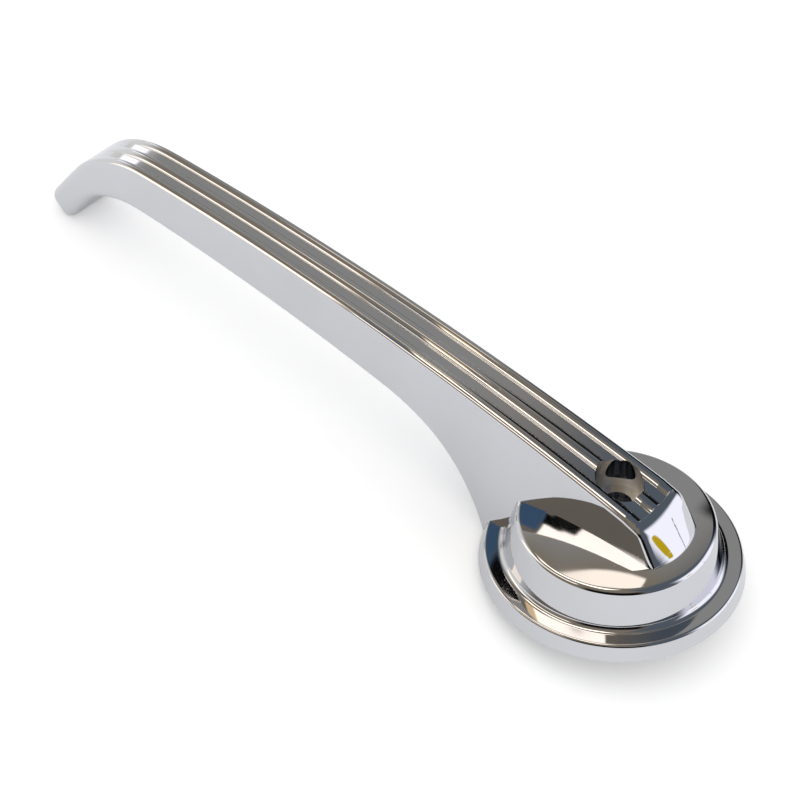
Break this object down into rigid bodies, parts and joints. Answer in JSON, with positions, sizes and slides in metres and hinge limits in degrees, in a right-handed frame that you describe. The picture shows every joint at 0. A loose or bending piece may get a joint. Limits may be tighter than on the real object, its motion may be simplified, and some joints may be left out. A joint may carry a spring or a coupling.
{
  "type": "car interior door handle",
  "caption": "Chrome-plated inside release lever for a car door: a round stepped base, a ribbed arm that rises and hooks down at its tip, and a recessed screw hole.",
  "frame": {"origin": "where the spindle's axis meets the plane of the base's back face, which lies against the door trim", "axes": "+Z runs out of the door along the spindle and the screw, +X along the arm towards its hooked tip, +Y across the arm"},
  "size_m": [0.1522, 0.046, 0.0367],
  "materials": {
    "chrome": "mirror-polished chrome plate"
  },
  "bodies": {
    "root": {"handle_casting": "chrome"}
  },
  "joints": []
}
